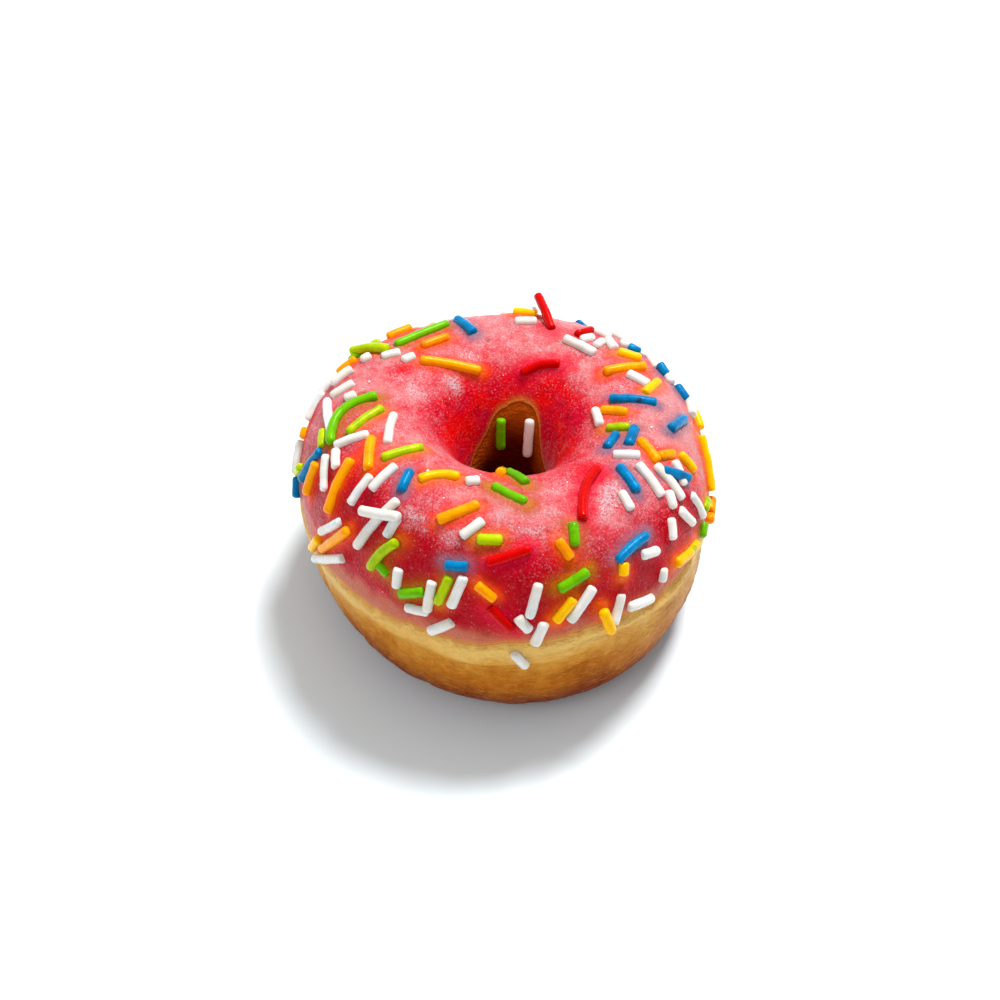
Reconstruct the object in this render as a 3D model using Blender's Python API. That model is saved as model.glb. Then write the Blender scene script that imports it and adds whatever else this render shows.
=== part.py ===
"""A ring doughnut with icing and sugar sprinkles, about 80 mm across.

Frame: +Z up, the flat of the base on z = 0, the middle of the hole near x = y = 0.
A place on the ring is an azimuth round it (0 at +X, 90 at +Y, in degrees) and a roll
over its section (0 outward, 90 on the crest, 180 into the hole, 270 on the base).
Lengths below are in millimetres and become metres when a vertex is placed.
"""

import random
from math import atan2, cos, degrees, exp, hypot, pi, radians, sin, tau

import bmesh
import bpy
from mathutils import Matrix, Vector

MM = 0.001

# The ring of dough with its icing on
OUTER_RADIUS = 40.0
HOLE_RADIUS = 6.8
CORE_RADIUS = 20.5      # radius of the circle that the section is rolled round
CORE_HEIGHT = 18.0
CREST_HEIGHT = 42.0
BASE_SINK = 2.0         # how far the round section would reach under the flat base
SHEAR = 0.15            # the crest leans outward
FULL_OUTER_TOP = 2.35   # squareness of the section's four quarters, 2 is an ellipse
FULL_INNER_TOP = 2.2
FULL_OUTER_LOW = 2.5
FULL_INNER_LOW = 2.6

# Unevenness round the ring: how many waves, how large, and the azimuth of a peak
WIDTH_WAVES = [(1, 0.018, -26), (2, 0.052, 102), (3, 0.041, 38)]
CREST_WAVES = [(1, 0.08, 235), (2, 0.027, 60)]
LOW_WAVES = [(1, 0.148, -25)]
MIDDLE = (0.34, 1.1)    # moves the ring so that the whole doughnut is centred

# Icing
ICING_THICK = 1.5
ICING_EDGE = 0.8
EDGE_FULLNESS = 0.6     # how soon the icing thickens from its edges, less is sooner
GAP = 0.4               # between icing and dough, measured across the section
OUTER_EDGE = 7.0        # roll of the icing's outer edge
OUTER_EDGE_WAVES = [(1, 5.0, 295), (3, 1.0, 290), (7, 1.0, 292), (16, 0.6, 270)]
OUTER_EDGE_RUNS = [(348, 10, 5.5), (203, 11, 3.5), (313, 5, 3.0)]   # azimuth, half width, drop
INNER_EDGE = 143.0      # roll of its edge inside the hole
INNER_EDGE_WAVES = [(5, 1.5, 20), (8, 1.0, 75)]
INNER_EDGE_RUNS = [(78, 42, -28.0), (136, 18, 5.0)]     # azimuth, half width, how much further in

# The soft shoulder of pale dough under the icing
SHOULDER_ROLL = 2.0
SHOULDER_WIDTH = 6.0
SHOULDER = 0.45
CREASE_DROP = 11.0
CREASE = 0.35

# Divisions of the meshes
AZIMUTH_STEPS = 50
COVERED_STEPS = 11
BARE_STEPS = 18
BARE_CROWDING = 1.5     # closer rows of faces near the icing's outer edge
LIP = 3.2               # roll from the icing's edge to where the dough is full again
LIP_START = 0.8

# Sprinkles
SPRINKLE_RADIUS = 0.95
SPRINKLE_SIDES = 5
SUNK = 0.42             # height of a sprinkle's middle over the icing
OVERHANG = 1.45         # the same for an end that reaches past the icing's edge
NEAR_EDGE = 1.0         # roll above the edge from which it counts as past
USUAL = (0.0, SUNK, SUNK)       # bend and the heights of both ends
STRAIGHT = 0.5          # a smaller bend is left out
DRAPE = 0.5             # 1 follows the icing's curve, 0 stays straight
EYE = (-1.0, -284.0, 304.0)     # the places below are read along lines from here
GRAZING = 0.4           # where the skin turns further away, heights are square to it instead

# Sprinkles placed one by one: azimuth and roll of both ends, then where they differ from
# the usual a sideways bend and the heights of both ends over the icing
PLACED = {
    "green": [
        (134.2, 65.5, 111.3, 66.5), (145.5, 47, 142, 52, 0, 0.7, 0.7), (170, 82.5, 192, 60.5, -3.0),
        (232.5, 39, 237, 35.5), (241.5, 28.5, 248.5, 34.5), (292.7, 44, 283.8, 39),
        (293, 66.5, 290.7, 56),
        (264.2, 90, 279.2, 80.5), (272, 102, 282, 92), (341.5, 17, 337.5, 14),
    ],
    "lime": [
        (138.6, 66.5, 143.5, 48, 0, 0.9, 1.6), (136.5, 47, 133, 50, 0, 0.5, 0.5), (191, 69.5, 178, 85.5),
        (181.5, 55.5, 188.5, 54), (212, 77.5, 214.5, 95.5), (237.3, 52.5, 230.6, 33.5, -0.6, 1.3, 1.0),
        (255.2, 45, 252.5, 30.5), (261.3, 62, 269.3, 62.4), (355.3, 94, 355.3, 82.8), (348, 23, 343, 24),
        (184, 32, 180, 20, 0, 0.6, 0.7),
    ],
    "orange": [
        (131, 52, 122, 53.5, 0, 0.6, 0.5), (136, 84.5, 107.5, 102, -0.3), (128, 76.5, 114.5, 76.5),
        (151, 45, 146, 54), (192, 49, 195, 32), (204, 68, 209, 41), (198, 79, 213, 70.5),
        (209, 17, 219, 43.5), (262.5, 43, 267.6, 36.5), (347.5, 78, 339, 66), (342, 67, 347.5, 59.5),
        (286.3, 60.5, 288.8, 51), (35, 83.5, 31, 61), (11.5, 95.5, 5.5, 83.5), (267, 98, 268.5, 112),
        (247.3, 66.5, 259.6, 78), (354, 12, 349, 11, 0, 0.7, 0.7), (350.5, 8.5, 346, 9, 0, 0.6, 0.8),
        (172, 30, 169, 33),
    ],
    "yellow": [
        (231.8, 80.5, 246.3, 90.5, 1.0), (207.5, 22, 203, 6, 0, 0.6, 0.8), (287.6, 33.5, 282.3, 23.5),
        (303.7, 41.5, 302.4, 35.5), (295, 23, 297.5, 6, 0, 0.42, 1.45), (333.3, 17, 321.8, 21),
        (4.5, 41, 353, 19, 0, 0.5, 0.5), (349, 56.5, 348, 43.5), (42.5, 66.5, 35.5, 59.5),
        (16.5, 72.5, 23.5, 60), (16, 38, 9.5, 36, 0, 0.6, 0.6), (87, 58, 78.5, 59, 0, 0.6, 0.6),
    ],
    "blue": [
        (190, 54, 188.5, 31), (226, 82, 230, 72), (253.3, 49.2, 259.7, 50.2),
        (337.5, 62, 343.5, 46, 0, 1.0, 0.8), (355.5, 81, 343, 82.3), (351, 89, 338.5, 91.5),
        (327.5, 80.5, 321.5, 65.5), (314.5, 47, 301.7, 43.5, -0.4), (17, 90, 10.2, 68),
        (358.5, 63, 7, 52.5), (107.5, 62.5, 103.5, 77.5), (43.2, 58, 39.5, 54),
        (27, 51, 31.5, 53, 0, 0.6, 1.2), (23.5, 47.5, 18, 43, 0, 0.6, 0.6),
        (180, 17, 184, 8, 0, 0.6, 0.9),
    ],
    "red": [
        (266, 33, 272, 20.5), (319.5, 88, 295.5, 66.5, -1.6), (264.8, 52.5, 277.5, 58.3),
        (60.5, 70.5, 57.5, 60), (70.5, 73, 79.5, 56, 0, 0.0, 4.0), (77.2, 103, 56.2, 93, 0.6),
    ],
    "white": [
        (148.5, 61, 145, 63.5, 0, 0.7, 0.7), (143.5, 68, 137, 73), (141, 78.5, 134.5, 80),
        (160, 53, 153.5, 60.5, 0, 0.7, 0.7), (167, 57, 160.5, 66), (160, 42, 156.5, 50, 0, 0.6, 0.6),
        (168, 36, 160.5, 46, 0, 0.6, 0.6), (167.5, 55, 185, 61), (170.5, 66, 168, 71),
        (181.5, 90.5, 205, 84),
        (193, 62, 195.5, 78.5), (194.5, 62, 201.5, 58.5), (193, 56, 203, 46.5), (220, 65, 219.5, 80),
        (216, 54, 215.7, 70), (220.5, 55.5, 235, 62.5, 0, 1.6, 1.6), (224.5, 39.5, 231.5, 69, 0.3),
        (234.5, 62, 233.5, 52), (207.5, 27, 214.8, 43.5), (206.5, 5.5, 219.8, 27, 0, 1.1, 0.45),
        (240, 41.5, 240.3, 31), (250.5, 41, 249.8, 24.5), (243.5, 22, 250.3, 24), (250.7, 12, 257, 22.5),
        (259, 46, 256.2, 30.3), (273, 28, 276, 20), (278.8, 43.5, 275.9, 27), (279.8, 24.5, 277, 10.5),
        (293.2, 36.5, 285.8, 22), (300.7, 27.5, 297.8, 11.5), (302.3, 17.5, 311, 13.5),
        (316.5, 25.5, 315, 18.5),
        (325.5, 45, 322.5, 35), (331, 43, 333.5, 30.5), (339, 41.5, 340, 24.5), (331.5, 55, 328.5, 46.5),
        (333, 74, 327.5, 55.5), (337, 67, 334, 45), (344.3, 58.5, 338.7, 48), (333.8, 86.5, 338.8, 75),
        (316.5, 70.5, 314.3, 60.5), (309.8, 40, 316, 36.8), (63.5, 77, 47, 77.5), (57, 73.5, 54, 66.5),
        (50, 73, 50.5, 65.5), (57, 61, 50, 60), (50, 63, 44.5, 66), (46, 60, 42.5, 54, 0, 0.4, 0.6),
        (54, 53, 46, 51, 0, 0.6, 0.6), (38, 49, 30.5, 54), (31, 49, 23, 52, 0, 0.7, 0.7),
        (29.3, 74, 21, 67.5),
        (15, 98, 359, 97.3), (21, 41, 10.5, 46, 0, 0.8, 0.8), (81, 60, 80, 50, 0, 0.8, 1.1),
        (86, 69.5, 77.5, 67), (250.5, 88.5, 257, 91.5), (262.5, 70.5, 256.3, 62),
        (171, 27, 178, 14, 0, 0.6, 0.9),
    ],
}

# Sprinkles that missed the icing and lie on the dough itself
ON_DOUGH = [(94, 123.5, 95.5, 141), (62, 121.5, 55, 143), (272, 6, 275.3, -4)]

# The far flank, spread by rule
FAR_SEED = 24
FAR_COUNT = 30
FAR_TRIES = 4000
FAR_SPACING = 4.2
FAR_LENGTH = (4.0, 9.0)
FAR_ROLLS = (14, 62)
FAR_AZIMUTHS = (8, 172)
FAR_FACING = -0.35      # only where the skin faces away from where the places were read
FAR_MARGIN = 4          # roll kept free above the icing's edge


def waves(terms, azimuth):
    """Sum of the waves round the ring."""
    return sum(size * cos(radians(count * (azimuth - peak))) for count, size, peak in terms)


def turned(a, b):
    """Signed angle from b to a, in degrees, the short way round."""
    return (a - b + 180) % 360 - 180


def bump(distance, half_width):
    return exp(-((distance / half_width) ** 2))


def outer_edge(azimuth):
    runs = sum(drop * bump(turned(azimuth, at), width) for at, width, drop in OUTER_EDGE_RUNS)
    return OUTER_EDGE + waves(OUTER_EDGE_WAVES, azimuth) - runs


def inner_edge(azimuth):
    runs = sum(further * bump(turned(azimuth, at), width) for at, width, further in INNER_EDGE_RUNS)
    return INNER_EDGE + waves(INNER_EDGE_WAVES, azimuth) + runs


def surface(azimuth, roll, depth=0.0):
    """The point on the doughnut at this azimuth and roll, or that far under its skin."""
    across = cos(radians(roll))
    rise = sin(radians(roll))
    outside = across >= 0
    above = rise >= 0
    if outside:
        half_width = (OUTER_RADIUS - CORE_RADIUS) * (1 + waves(WIDTH_WAVES, azimuth))
    else:
        half_width = CORE_RADIUS - HOLE_RADIUS
    if above:
        half_height = (CREST_HEIGHT - CORE_HEIGHT) * (1 + waves(CREST_WAVES, azimuth))
        power = FULL_OUTER_TOP if outside else FULL_INNER_TOP
    else:
        half_height = CORE_HEIGHT + BASE_SINK
        power = FULL_OUTER_LOW * (1 + waves(LOW_WAVES, azimuth)) if outside else FULL_INNER_LOW
    reach = (abs(across / half_width) ** power + abs(rise / half_height) ** power) ** (-1 / power)
    lean = SHEAR if above else SHEAR * max(0.0, 1 - (reach * rise / half_height) ** 2)
    reach -= depth
    radius = CORE_RADIUS + reach * across
    height = max(0.0, CORE_HEIGHT + reach * rise + lean * reach * across)
    return Vector((radius * cos(radians(azimuth)), radius * sin(radians(azimuth)), height))


def outward(azimuth, roll):
    """Unit vector straight out of the doughnut's skin."""
    along = surface(azimuth + 0.5, roll) - surface(azimuth - 0.5, roll)
    over = surface(azimuth, roll + 0.5) - surface(azimuth, roll - 0.5)
    return along.cross(over).normalized()


def icing_depth(fraction):
    """Thickness of the icing at a fraction of the way from its outer to its inner edge."""
    return ICING_EDGE + (ICING_THICK - ICING_EDGE) * max(0.0, sin(pi * fraction)) ** EDGE_FULLNESS


def shoulder(roll):
    """How far the bare dough stands in from the plain section."""
    below = turned(roll, SHOULDER_ROLL)
    return CREASE * bump(below + CREASE_DROP, SHOULDER_WIDTH) - SHOULDER * bump(below, SHOULDER_WIDTH)


def dough_place(azimuth, step):
    """Roll and depth of the dough's skin at a step round its section."""
    low = outer_edge(azimuth) - LIP_START
    high = inner_edge(azimuth) + LIP_START
    if step <= COVERED_STEPS:
        fraction = step / COVERED_STEPS
        return low + (high - low) * fraction, icing_depth(fraction) + GAP
    start = high + LIP - LIP_START
    end = low + 360 - LIP + LIP_START
    fraction = (step - COVERED_STEPS - 1) / (BARE_STEPS - 2)
    fraction = 1 - (1 - fraction) ** BARE_CROWDING
    roll = start + (end - start) * fraction
    return roll, shoulder(roll)


def icing_place(azimuth, step):
    """Roll and depth of the icing's skin: over the top, then back along its underside."""
    low = outer_edge(azimuth)
    high = inner_edge(azimuth)
    under = step > COVERED_STEPS
    fraction = (2 * COVERED_STEPS + 1 - step if under else step) / COVERED_STEPS
    return low + (high - low) * fraction, icing_depth(fraction) if under else 0.0


def roll_out(name, steps, place):
    """A plain ring spun from a circle, each of its vertices then moved to its place on the doughnut."""
    mesh = bmesh.new()
    bmesh.ops.create_circle(mesh, segments=steps, radius=1.0)
    bmesh.ops.rotate(mesh, verts=mesh.verts, matrix=Matrix.Rotation(pi / 2, 3, "X"))
    bmesh.ops.translate(mesh, verts=mesh.verts, vec=(2, 0, 0))
    bmesh.ops.spin(mesh, geom=mesh.edges[:], axis=(0, 0, 1), cent=(0, 0, 0), angle=tau,
                   steps=AZIMUTH_STEPS, use_merge=True)
    for vertex in mesh.verts:
        azimuth = degrees(atan2(vertex.co.y, vertex.co.x)) % 360
        plain_roll = degrees(atan2(vertex.co.z, hypot(vertex.co.x, vertex.co.y) - 2)) % 360
        roll, depth = place(azimuth, round(plain_roll / 360 * steps) % steps)
        vertex.co = metres(surface(azimuth, roll, depth))
    return finished(name, mesh)


def metres(point):
    return Vector((point.x + MIDDLE[0], point.y + MIDDLE[1], point.z)) * MM


def finished(name, mesh):
    """Turns the faces outward and puts the mesh in the scene under this name."""
    bmesh.ops.triangulate(mesh, faces=mesh.faces[:])
    bmesh.ops.recalc_face_normals(mesh, faces=mesh.faces[:])
    data = bpy.data.meshes.new(name)
    mesh.to_mesh(data)
    mesh.free()
    data.shade_smooth()
    piece = bpy.data.objects.new(name, data)
    bpy.context.scene.collection.objects.link(piece)
    return piece


def seen_from_eye(point, normal, height):
    """A point this high over the skin, on the line on which the place was read."""
    sight = (Vector(EYE) - point).normalized()
    facing = sight.dot(normal)
    if facing < GRAZING:
        return point + normal * height
    return point + sight * (height / facing)


def sprinkle_line(ends, points, read, on_icing):
    """Middle line of a sprinkle from one end's place to the other's, half draped over what it lies on."""
    azimuth, roll, end_azimuth, end_roll, bend, low, high = (*ends, *USUAL[len(ends) - 4:])
    arc = turned(end_azimuth, azimuth)
    draped = []
    for i in range(points):
        t = i / (points - 1)
        a = azimuth + arc * t
        r = roll + (end_roll - roll) * t
        height = low + (high - low) * t
        if on_icing and r < outer_edge(a) + NEAR_EDGE:
            height = max(height, OVERHANG)
        normal = outward(a, r)
        at = surface(a, r)
        draped.append(seen_from_eye(at, normal, height) if read else at + normal * height)
    start, end = draped[0], draped[-1]
    up = outward(azimuth + arc / 2, (roll + end_roll) / 2)
    sag = draped[points // 2] - (start + end) / 2
    side = up.cross(end - start).normalized()
    line = []
    for i, point in enumerate(draped):
        t = i / (points - 1)
        straight = start.lerp(end, t) + sag
        line.append(straight.lerp(point, DRAPE) + side * bend * sin(pi * t))
    return line, up


def sprinkle(name, ends, read=True, on_icing=True):
    """A rod, one edge down, with a ring at each point of its middle line."""
    bend = abs(ends[4]) if len(ends) > 4 else 0
    line, up = sprinkle_line(ends, 5 if bend > 1 else 3, read, on_icing)
    if bend < STRAIGHT:
        half = (line[2] - line[0]) / 2
        line = [line[1] - half, line[1] + half]
    points = len(line)
    mesh = bmesh.new()
    bmesh.ops.create_cone(mesh, segments=SPRINKLE_SIDES, radius1=SPRINKLE_RADIUS, radius2=SPRINKLE_RADIUS,
                          depth=points - 1, cap_ends=True)
    for i in range(1, points - 1):
        bmesh.ops.bisect_plane(mesh, geom=mesh.verts[:] + mesh.edges[:] + mesh.faces[:],
                               plane_co=(0, 0, i - (points - 1) / 2), plane_no=(0, 0, 1))
    for vertex in mesh.verts:
        i = round(vertex.co.z + (points - 1) / 2)
        along = (line[min(i + 1, points - 1)] - line[max(i - 1, 0)]).normalized()
        side = along.cross(up).normalized()
        vertex.co = metres(line[i] + side * vertex.co.x - side.cross(along) * vertex.co.y)
    return finished(name, mesh)


def far_side(taken):
    """Ends of the sprinkles on the far flank, drawn evenly and clear of those already placed."""
    draw = random.Random(FAR_SEED)
    middles = [surface(a + turned(b, a) / 2, (r + s) / 2) for a, r, b, s in taken]
    found = []
    for _ in range(FAR_TRIES):
        azimuth = draw.uniform(*FAR_AZIMUTHS)
        roll = draw.uniform(*FAR_ROLLS)
        heading = draw.uniform(0, pi)
        length = draw.uniform(*FAR_LENGTH)
        middle = surface(azimuth, roll)
        facing = (Vector(EYE) - middle).normalized().dot(outward(azimuth, roll))
        close = any((middle - other).length < FAR_SPACING for other in middles)
        if facing > FAR_FACING or close or len(found) == FAR_COUNT:
            continue
        half_arc = degrees(length / 2 * cos(heading) / hypot(middle.x, middle.y))
        half_roll = degrees(length / 2 * sin(heading) / (CREST_HEIGHT - CORE_HEIGHT))
        if roll - abs(half_roll) < outer_edge(azimuth) + FAR_MARGIN:
            continue
        middles.append(middle)
        found.append((azimuth - half_arc, roll - half_roll, azimuth + half_arc, roll + half_roll))
    return found


def fuse(body, pieces):
    """Joins the pieces to the body with one union and removes them."""
    group = bpy.data.collections.new(body.name + "_toppings")
    bpy.context.scene.collection.children.link(group)
    for piece in pieces:
        bpy.context.scene.collection.objects.unlink(piece)
        group.objects.link(piece)
    union = body.modifiers.new("toppings", "BOOLEAN")
    union.operation = "UNION"
    union.operand_type = "COLLECTION"
    union.collection = group
    union.solver = "MANIFOLD"
    bpy.context.view_layer.update()
    joined = bpy.data.meshes.new_from_object(body.evaluated_get(bpy.context.evaluated_depsgraph_get()))
    body.modifiers.clear()
    body.data = joined
    joined.shade_smooth()
    for piece in pieces:
        bpy.data.objects.remove(piece)
    bpy.data.collections.remove(group)


def material(name, color, roughness):
    made = bpy.data.materials.new(name)
    made.use_nodes = True
    shader = made.node_tree.nodes["Principled BSDF"]
    shader.inputs["Base Color"].default_value = (*color, 1.0)
    shader.inputs["Roughness"].default_value = roughness
    shader.inputs["Metallic"].default_value = 0.0
    return made


def build_dough():
    dough = roll_out("dough", COVERED_STEPS + BARE_STEPS, dough_place)
    fuse(dough, [sprinkle(f"on_dough_{i}", ends, on_icing=False) for i, ends in enumerate(ON_DOUGH)])
    dough.data.materials.clear()
    dough.data.materials.append(material("dough", (0.52, 0.27, 0.08), 0.6))


def build_icing():
    icing = roll_out("icing", 2 * COVERED_STEPS + 2, icing_place)
    placed = [ends for kind in PLACED.values() for ends in kind]
    pieces = [sprinkle(f"sprinkle_{i}", ends) for i, ends in enumerate(placed)]
    far = far_side([ends[:4] for ends in placed])
    pieces += [sprinkle(f"far_sprinkle_{i}", ends, read=False) for i, ends in enumerate(far)]
    fuse(icing, pieces)
    icing.data.materials.clear()
    icing.data.materials.append(material("icing", (0.76, 0.10, 0.12), 0.35))


def main():
    for piece in list(bpy.data.objects):
        bpy.data.objects.remove(piece)
    build_dough()
    build_icing()


main()
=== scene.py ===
import random
from functools import lru_cache
from math import atan2, cos, degrees, exp, hypot, pi, radians, sin, tau

import bmesh
import bpy
from mathutils import Matrix, Vector, noise
from mathutils.kdtree import KDTree


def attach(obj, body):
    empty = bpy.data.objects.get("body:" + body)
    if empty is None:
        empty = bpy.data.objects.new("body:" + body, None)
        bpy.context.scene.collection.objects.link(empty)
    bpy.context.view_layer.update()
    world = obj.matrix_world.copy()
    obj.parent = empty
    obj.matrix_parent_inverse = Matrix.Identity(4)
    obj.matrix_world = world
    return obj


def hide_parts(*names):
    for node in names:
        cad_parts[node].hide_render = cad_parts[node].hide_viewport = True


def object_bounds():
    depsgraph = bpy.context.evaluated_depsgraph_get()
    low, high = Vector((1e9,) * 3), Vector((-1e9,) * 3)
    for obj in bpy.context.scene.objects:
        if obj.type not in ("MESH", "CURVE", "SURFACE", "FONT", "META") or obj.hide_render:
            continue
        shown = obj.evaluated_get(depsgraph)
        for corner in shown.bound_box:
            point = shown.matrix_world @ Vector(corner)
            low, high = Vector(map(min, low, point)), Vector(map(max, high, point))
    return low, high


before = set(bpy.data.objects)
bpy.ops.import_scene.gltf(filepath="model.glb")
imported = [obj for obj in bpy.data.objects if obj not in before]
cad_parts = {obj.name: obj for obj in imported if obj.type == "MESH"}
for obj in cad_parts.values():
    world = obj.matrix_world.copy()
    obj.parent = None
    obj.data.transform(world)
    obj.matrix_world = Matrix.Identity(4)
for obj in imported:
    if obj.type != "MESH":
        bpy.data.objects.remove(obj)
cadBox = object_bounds()
mm = 0.001      # lengths below are in millimetres, angles in degrees
print("frame loaded:", sorted(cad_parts))

# A place on the doughnut is an azimuth round it (0 at +X, 90 at +Y) and a roll over its section
# (0 outward, 90 on the crest, 180 into the hole, 270 on the base)
ring = {
    "outerRadius": 40.0,
    "holeRadius": 6.8,
    "coreRadius": 20.5,     # the circle that the section is rolled round
    "coreHeight": 18.0,
    "crestHeight": 42.0,
    "baseSink": 2.0,        # how far the round section would reach under the flat base
    "lean": 0.15,           # the crest leans outward
    "fullness": {"outerTop": 2.35, "innerTop": 2.2, "outerLow": 2.5, "innerLow": 2.6},
    "widthWaves": [(1, 0.018, -26), (2, 0.052, 102), (3, 0.041, 38)],   # count, size, azimuth of a peak
    "crestWaves": [(1, 0.08, 235), (2, 0.027, 60)],
    "lowWaves": [(1, 0.148, -25)],
    "middle": (0.34, 1.1),  # shift that centres its box on the origin
    "azimuthSteps": 440,
}


def waves(terms, azimuth):
    return sum(size * cos(radians(count * (azimuth - peak))) for count, size, peak in terms)


def turned(a, b):       # signed angle from b to a, the short way round
    return (a - b + 180) % 360 - 180


def bump(distance, halfWidth):
    return exp(-((distance / halfWidth) ** 2))


def smooth(low, high, value):
    t = min(1.0, max(0.0, (value - low) / (high - low)))
    return t * t * (3 - 2 * t)


@lru_cache(maxsize=None)
def quarters(azimuth):      # half widths, half heights and squareness of the section here
    full = ring["fullness"]
    halfOut = (ring["outerRadius"] - ring["coreRadius"]) * (1 + waves(ring["widthWaves"], azimuth))
    halfUp = (ring["crestHeight"] - ring["coreHeight"]) * (1 + waves(ring["crestWaves"], azimuth))
    outerLow = full["outerLow"] * (1 + waves(ring["lowWaves"], azimuth))
    return halfOut, halfUp, outerLow


def surface(azimuth, roll, depth=0.0):
    full = ring["fullness"]
    halfOut, halfUp, outerLow = quarters(azimuth)
    across = cos(radians(roll))
    rise = sin(radians(roll))
    halfWidth = halfOut if across >= 0 else ring["coreRadius"] - ring["holeRadius"]
    if rise >= 0:
        halfHeight = halfUp
        power = full["outerTop"] if across >= 0 else full["innerTop"]
    else:
        halfHeight = ring["coreHeight"] + ring["baseSink"]
        power = outerLow if across >= 0 else full["innerLow"]
    reach = (abs(across / halfWidth) ** power + abs(rise / halfHeight) ** power) ** (-1 / power)
    lean = ring["lean"]
    if rise < 0:
        lean *= max(0.0, 1 - (reach * rise / halfHeight) ** 2)
    reach -= depth
    radius = ring["coreRadius"] + reach * across
    height = max(0.0, ring["coreHeight"] + reach * rise + lean * reach * across)
    return Vector((radius * cos(radians(azimuth)), radius * sin(radians(azimuth)), height))


def outward(azimuth, roll):
    along = surface(azimuth + 0.5, roll) - surface(azimuth - 0.5, roll)
    over = surface(azimuth, roll + 0.5) - surface(azimuth, roll - 0.5)
    return along.cross(over).normalized()


def metres(point):
    return Vector((point.x + ring["middle"][0], point.y + ring["middle"][1], point.z)) * mm


# The icing's edges, and how it thins out towards them
edges = {
    "outerRoll": 7.0,
    "outerWaves": [(1, 5.0, 295), (3, 1.0, 290), (7, 1.0, 292), (16, 0.6, 270)],
    "outerRuns": [(348, 10, 5.5), (203, 11, 3.5), (313, 5, 3.0)],       # azimuth, half width, drop
    "innerRoll": 143.0,
    "innerWaves": [(5, 1.5, 20), (8, 1.0, 75)],
    "innerRuns": [(78, 42, -28.0), (136, 18, 5.0)],     # the same, further into the hole or less
    "ripple": 1.3,                  # roll by which small bays and tongues depart from the waves
    "rippleLength": 2.6,
}


def ripple(azimuth, roll):
    point = surface(round(azimuth, 2), roll) / edges["rippleLength"]
    return edges["ripple"] * (noise.noise(point) + 0.5 * noise.noise(point * 2.3))


@lru_cache(maxsize=None)
def plainOuterEdge(azimuth):
    runs = sum(drop * bump(turned(azimuth, at), width) for at, width, drop in edges["outerRuns"])
    return edges["outerRoll"] + waves(edges["outerWaves"], azimuth) - runs


@lru_cache(maxsize=None)
def outerEdge(azimuth):
    return plainOuterEdge(azimuth) + ripple(azimuth, 8)


@lru_cache(maxsize=None)
def innerEdge(azimuth):
    runs = sum(further * bump(turned(azimuth, at), width) for at, width, further in edges["innerRuns"])
    return edges["innerRoll"] + waves(edges["innerWaves"], azimuth) + runs + 2 * ripple(azimuth, 140)


def spunRing(steps, place, masks, tints=()):    # spun from a circle, then each vertex is moved
    mesh = bmesh.new()
    for name in masks:
        mesh.verts.layers.float.new(name)
    for name in tints:
        mesh.verts.layers.float_color.new(name)
    bmesh.ops.create_circle(mesh, segments=steps, radius=1.0)
    bmesh.ops.rotate(mesh, verts=mesh.verts, matrix=Matrix.Rotation(pi / 2, 3, "X"))
    bmesh.ops.translate(mesh, verts=mesh.verts, vec=(2, 0, 0))
    bmesh.ops.spin(mesh, geom=mesh.edges[:], axis=(0, 0, 1), cent=(0, 0, 0), angle=tau,
                   steps=ring["azimuthSteps"], use_merge=True)
    places = []
    for vertex in mesh.verts:
        azimuth = round(degrees(atan2(vertex.co.y, vertex.co.x)) % 360, 3)
        plainRoll = degrees(atan2(vertex.co.z, hypot(vertex.co.x, vertex.co.y) - 2)) % 360
        step = round(plainRoll / 360 * steps) % steps
        roll, depth = place(azimuth, step)
        vertex.co = metres(surface(azimuth, roll, depth))
        places.append((vertex, azimuth, roll))
    bmesh.ops.recalc_face_normals(mesh, faces=mesh.faces[:])
    mesh.normal_update()
    return mesh, places


def dataFrom(mesh, name):
    data = bpy.data.meshes.new(name)
    mesh.to_mesh(data)
    mesh.free()
    return data


def objectFrom(data, name):
    made = bpy.data.objects.new(name, data)
    bpy.context.scene.collection.objects.link(made)
    return made


def pieceFrom(mesh, name, finish, nodes):
    data = dataFrom(mesh, name)
    data.shade_smooth()
    data.materials.append(finish)
    piece = objectFrom(data, name)
    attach(piece, "root")
    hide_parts(*nodes)
    return piece


def treeOf(points):
    tree = KDTree(len(points))
    for index, point in enumerate(points):
        tree.insert(point, index)
    tree.balance()
    return tree


# Shader helpers
def newMaterial(name):
    made = bpy.data.materials.new(name)
    made.use_nodes = True
    return made.node_tree, made.node_tree.nodes["Principled BSDF"], made


def wire(tree, start, end):
    tree.links.new(start, end)


def feed(tree, node, values):       # into each named or numbered socket a link, a colour or a number
    for key, value in values.items():
        if isinstance(value, bpy.types.NodeSocket):
            wire(tree, value, node.inputs[key])
        elif node.inputs[key].type == "RGBA":
            node.inputs[key].default_value = (*value, 1.0)
        else:
            node.inputs[key].default_value = value


def addNode(tree, kind, values=None, **settings):
    made = tree.nodes.new(kind)
    for key, value in settings.items():
        setattr(made, key, value)
    feed(tree, made, values or {})
    return made


def mixColours(tree, share, first, second):
    made = addNode(tree, "ShaderNodeMix", data_type="RGBA")
    feed(tree, made, {0: share, 6: first, 7: second})
    return made.outputs[2]


def calculate(tree, operation, first, second=0.0, third=0.0, clamp=False):
    values = {0: first, 1: second, 2: third}
    return addNode(tree, "ShaderNodeMath", values, operation=operation, use_clamp=clamp).outputs[0]


def spread(tree, value, low, high, toLow=0.0, toHigh=1.0):
    values = {"Value": value, "From Min": low, "From Max": high, "To Min": toLow, "To Max": toHigh}
    return addNode(tree, "ShaderNodeMapRange", values, interpolation_type="SMOOTHSTEP").outputs["Result"]


def product(tree, share, *factors):
    for factor in factors:
        share = calculate(tree, "MULTIPLY", share, factor)
    return share


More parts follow.
